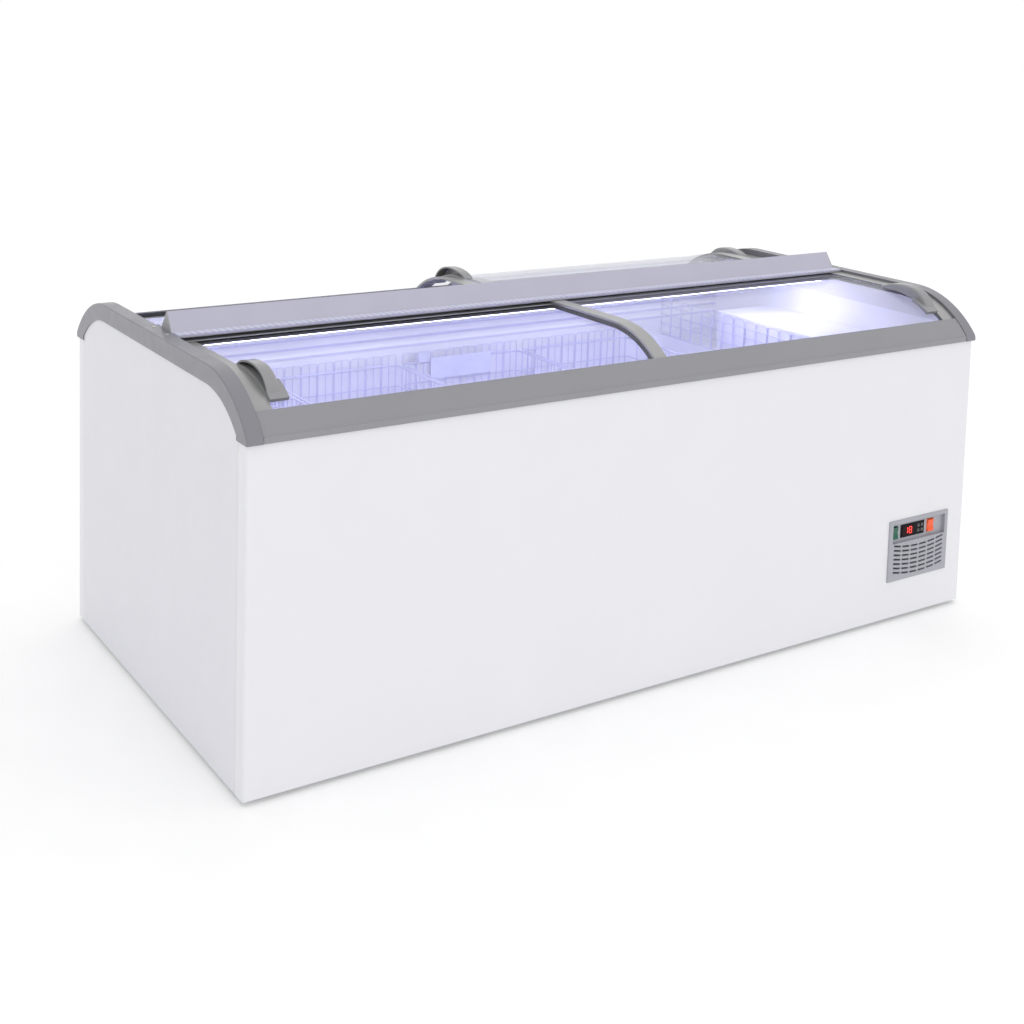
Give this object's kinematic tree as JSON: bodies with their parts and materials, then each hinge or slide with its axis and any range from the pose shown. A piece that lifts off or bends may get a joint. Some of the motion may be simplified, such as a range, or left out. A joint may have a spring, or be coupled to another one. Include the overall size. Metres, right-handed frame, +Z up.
{
  "type": "island chest freezer",
  "caption": "Double-sided island chest freezer with curved sliding glass lids on both sides of a lit central ridge, hanging wire baskets and a front control panel.",
  "frame": {"origin": "on the floor below the centre of the cabinet", "axes": "+X along the cabinet to the right seen from the control-panel side, +Y from front to rear, +Z up"},
  "size_m": [2, 1.04, 0.857],
  "materials": {
    "cabinet_white": "satin powder coat",
    "galvanised": "galvanised sheet",
    "foam": "cut foam",
    "liner_white": "satin white",
    "copper_tube": "drawn tube",
    "foot_black": "moulded",
    "rail_grey": "satin extrusion",
    "cap_grey": "satin moulding",
    "screw_steel": "zinc plated",
    "ridge_aluminium": "satin anodised",
    "plug_grey": "satin moulding",
    "track_grey": "satin extrusion",
    "led_white": "lit strip",
    "cover_frosted": "frosted",
    "wire_white": "coated wire",
    "bezel_grey": "satin moulding",
    "panel_black": "gloss moulding",
    "display_red": "lit digits",
    "key_grey": "moulded",
    "rocker_green": "lit, translucent",
    "rocker_orange": "lit, translucent",
    "machine_black": "black enamel",
    "fan_grey": "moulded",
    "grille_grey": "satin",
    "inlet_black": "moulded",
    "lid_glass": "clear toughened",
    "strip_grey": "satin",
    "seal_black": "extruded",
    "handle_grey": "satin moulding"
  },
  "bodies": {
    "cabinet": {"base_pan": "galvanised", "front_panel": "cabinet_white", "rear_panel": "cabinet_white", "left_end_panel": "cabinet_white", "right_end_panel": "cabinet_white", "foam_core": "foam", "liner": "liner_white", "evaporator_tube": "copper_tube", "drain_plug": "liner_white", "levelling_feet": "foot_black", "front_rail": "rail_grey", "rear_rail": "rail_grey", "left_end_cap": "cap_grey", "right_end_cap": "cap_grey", "side_ledges": "cap_grey", "cap_screws": "screw_steel", "ridge_beam": "ridge_aluminium", "ridge_plugs": "plug_grey", "front_track": "track_grey", "rear_track": "track_grey", "led_strips": "led_white", "light_covers": "cover_frosted", "end_guard": "wire_white", "control_bezel": "bezel_grey", "display_module": "panel_black", "display_window": "display_red", "compressor": "machine_black", "condenser_coil": "machine_black", "fan_motor": "machine_black", "rear_grille": "grille_grey", "cable_inlet": "inlet_black"},
    "front_lower_lid": {"front_lower_glass": "lid_glass", "front_lower_end_strips": "strip_grey", "front_lower_edge_seals": "seal_black", "front_lower_handle": "handle_grey"},
    "front_upper_lid": {"front_upper_glass": "lid_glass", "front_upper_end_strips": "strip_grey", "front_upper_edge_seals": "seal_black", "front_upper_handle": "handle_grey"},
    "rear_lower_lid": {"rear_lower_glass": "lid_glass", "rear_lower_end_strips": "strip_grey", "rear_lower_edge_seals": "seal_black", "rear_lower_handle": "handle_grey"},
    "rear_upper_lid": {"rear_upper_glass": "lid_glass", "rear_upper_end_strips": "strip_grey", "rear_upper_edge_seals": "seal_black", "rear_upper_handle": "handle_grey"},
    "basket_1": {"basket_1": "wire_white"},
    "basket_2": {"basket_2": "wire_white"},
    "basket_3": {"basket_3": "wire_white"},
    "basket_4": {"basket_4": "wire_white"},
    "set_key": {"set_key": "key_grey"},
    "defrost_key": {"defrost_key": "key_grey"},
    "up_key": {"up_key": "key_grey"},
    "down_key": {"down_key": "key_grey"},
    "green_rocker": {"green_rocker": "rocker_green"},
    "orange_rocker": {"orange_rocker": "rocker_orange"},
    "fan": {"fan_blade": "fan_grey"}
  },
  "joints": [
    {"name": "front_lower_slide", "type": "slide", "parent": "cabinet", "child": "front_lower_lid", "axis": [1, 0, 0], "range_m": [0, 0.864]},
    {"name": "front_upper_slide", "type": "slide", "parent": "cabinet", "child": "front_upper_lid", "axis": [1, 0, 0], "range_m": [-0.864, 0]},
    {"name": "rear_lower_slide", "type": "slide", "parent": "cabinet", "child": "rear_lower_lid", "axis": [-1, 0, 0], "range_m": [0, 0.864]},
    {"name": "rear_upper_slide", "type": "slide", "parent": "rear_lower_lid", "child": "rear_upper_lid", "axis": [1, 0, 0], "range_m": [-0.864, 0]},
    {"name": "basket_1_lift", "type": "slide", "parent": "cabinet", "child": "basket_1", "axis": [0, 0, 1], "range_m": [0, 0.12]},
    {"name": "basket_2_lift", "type": "slide", "parent": "cabinet", "child": "basket_2", "axis": [0, 0, 1], "range_m": [0, 0.12]},
    {"name": "basket_3_lift", "type": "slide", "parent": "cabinet", "child": "basket_3", "axis": [0, 0, 1], "range_m": [0, 0.12]},
    {"name": "basket_4_lift", "type": "slide", "parent": "cabinet", "child": "basket_4", "axis": [0, 0, 1], "range_m": [0, 0.12]},
    {"name": "set_key_press", "type": "slide", "parent": "cabinet", "child": "set_key", "axis": [0, 1, 0], "range_m": [0, 0.0015], "stiffness_N_per_m": 400},
    {"name": "defrost_key_press", "type": "slide", "parent": "cabinet", "child": "defrost_key", "axis": [0, 1, 0], "range_m": [0, 0.0015], "stiffness_N_per_m": 400},
    {"name": "up_key_press", "type": "slide", "parent": "cabinet", "child": "up_key", "axis": [0, 1, 0], "range_m": [0, 0.0015], "stiffness_N_per_m": 400},
    {"name": "down_key_press", "type": "slide", "parent": "cabinet", "child": "down_key", "axis": [0, 1, 0], "range_m": [0, 0.0015], "stiffness_N_per_m": 400},
    {"name": "green_rocker_tip", "type": "hinge", "parent": "cabinet", "child": "green_rocker", "pos_m": [0.75, -0.5, 0.229], "axis": [1, 0, 0], "range_deg": [-8, 8]},
    {"name": "orange_rocker_tip", "type": "hinge", "parent": "cabinet", "child": "orange_rocker", "pos_m": [0.88, -0.5, 0.229], "axis": [1, 0, 0], "range_deg": [-8, 8]},
    {"name": "fan_spin", "type": "hinge", "parent": "cabinet", "child": "fan", "pos_m": [0.88, -0.36, 0.165], "axis": [0, 1, 0], "continuous": true}
  ]
}
